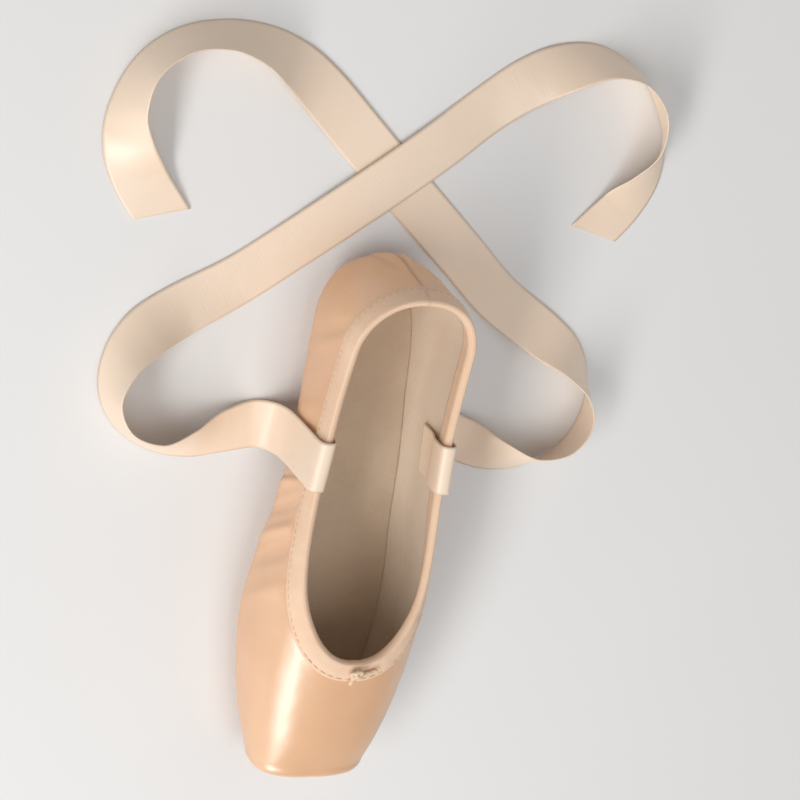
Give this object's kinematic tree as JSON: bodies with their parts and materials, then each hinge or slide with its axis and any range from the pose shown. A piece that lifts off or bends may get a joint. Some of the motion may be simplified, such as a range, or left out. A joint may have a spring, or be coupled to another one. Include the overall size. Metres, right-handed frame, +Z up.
{
  "type": "pointe shoe",
  "caption": "Satin pointe shoe with a stiff flat-fronted toe box, split leather outsole, bound collar with a drawstring, and ankle ribbons lying loose.",
  "frame": {"origin": "on the floor plane under the middle of the shoe's own bounding box, the ribbons and the drawstring's knot left out", "axes": "+Z up, -Y towards the toe, +Y towards the heel, +X towards the wearer's left when facing the toe's way"},
  "size_m": [0.2548, 0.3347, 0.0611],
  "materials": {
    "satin": "glossy satin weave",
    "binding": "matt cotton tape",
    "ribbon": "glossy satin ribbon",
    "drawstring": "matt cotton cord",
    "insole": "matt cotton over board",
    "sole_leather": "suede"
  },
  "bodies": {
    "root": {"upper": "satin", "collar_binding": "binding", "insole": "insole", "outsole_forefoot": "sole_leather", "outsole_heel": "sole_leather", "drawstring_knot": "drawstring", "ribbon_left": "ribbon", "ribbon_right": "ribbon"}
  },
  "joints": []
}
